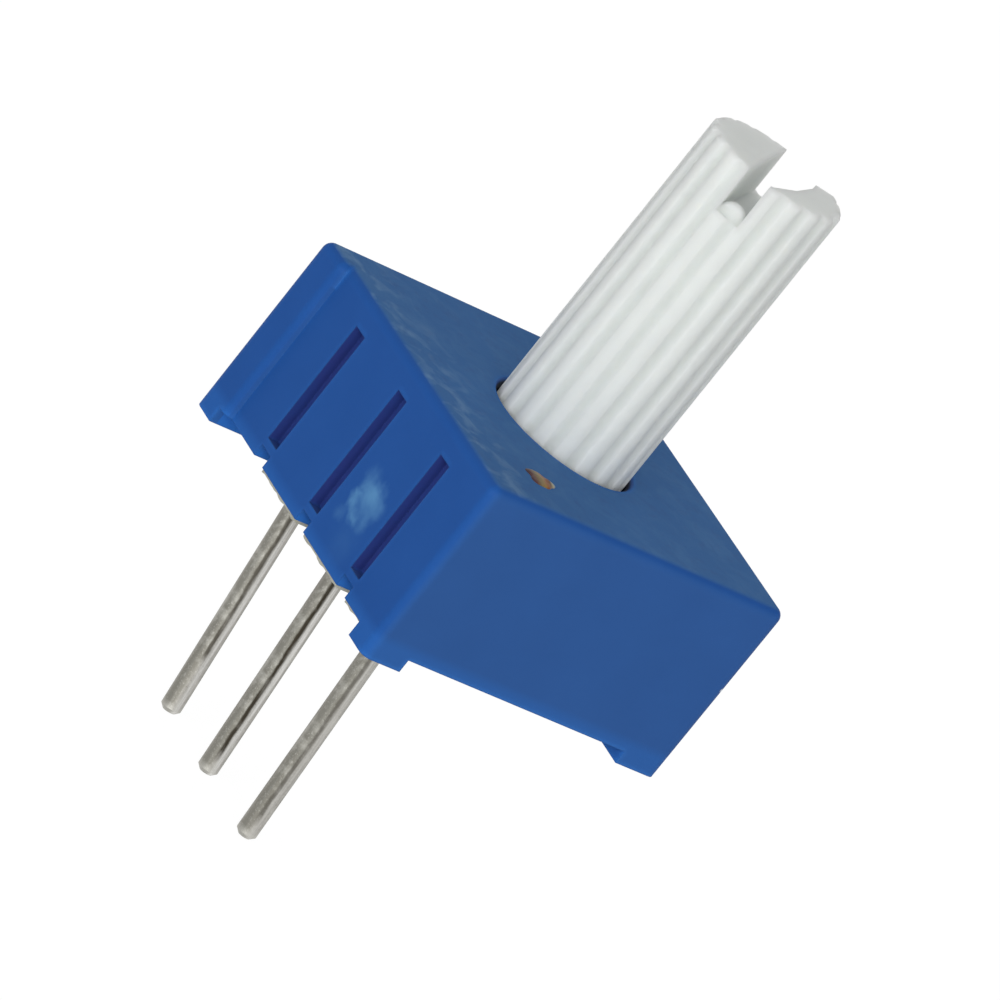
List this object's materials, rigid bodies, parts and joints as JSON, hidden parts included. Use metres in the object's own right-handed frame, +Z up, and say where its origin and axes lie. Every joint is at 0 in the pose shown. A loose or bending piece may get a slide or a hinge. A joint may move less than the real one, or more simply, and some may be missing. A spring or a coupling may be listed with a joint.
{
  "type": "trimmer potentiometer",
  "caption": "Square board-mounted rotary trimmer with a long splined, slotted shaft, grooved lead side and three wire leads leaning below its feet.",
  "frame": {"origin": "where the shaft axis meets the plane of the circuit board that the four feet stand on", "axes": "+Z up along the shaft axis, away from the board; -X towards the grooved side that the row of leads lies behind; Y along the row of leads, with lead 1 at +Y and lead 3 at -Y"},
  "size_m": [0.0096, 0.0095, 0.0187],
  "materials": {
    "housing_plastic": "moulded thermoset, satin, with scuffs",
    "shaft_plastic": "natural white engineering plastic, slightly glossy on the splines",
    "seal_rubber": "smooth",
    "spring_alloy": "stamped and bent spring sheet",
    "ceramic": "pressed and fired, dull",
    "resistive_film": "printed and fired",
    "conductor_film": "printed and fired",
    "tinned_wire": "drawn and tinned, dulled with streaks",
    "solder": "reflowed",
    "resin": "poured and cured"
  },
  "bodies": {
    "base": {"housing": "housing_plastic", "seal_ring": "seal_rubber", "ceramic_plate": "ceramic", "resistive_track": "resistive_film", "collector_film": "conductor_film", "end_film_1": "conductor_film", "end_film_3": "conductor_film", "lead_1": "tinned_wire", "lead_2": "tinned_wire", "lead_3": "tinned_wire", "solder_1": "solder", "solder_2": "solder", "solder_3": "solder", "potting": "resin"},
    "rotor": {"rotor_shaft": "shaft_plastic", "wiper_spring": "spring_alloy"}
  },
  "joints": [
    {"name": "shaft_turn", "type": "hinge", "parent": "base", "child": "rotor", "pos_m": [0, 0, 0], "axis": [0, 0, 1], "range_deg": [-196, 114]}
  ]
}
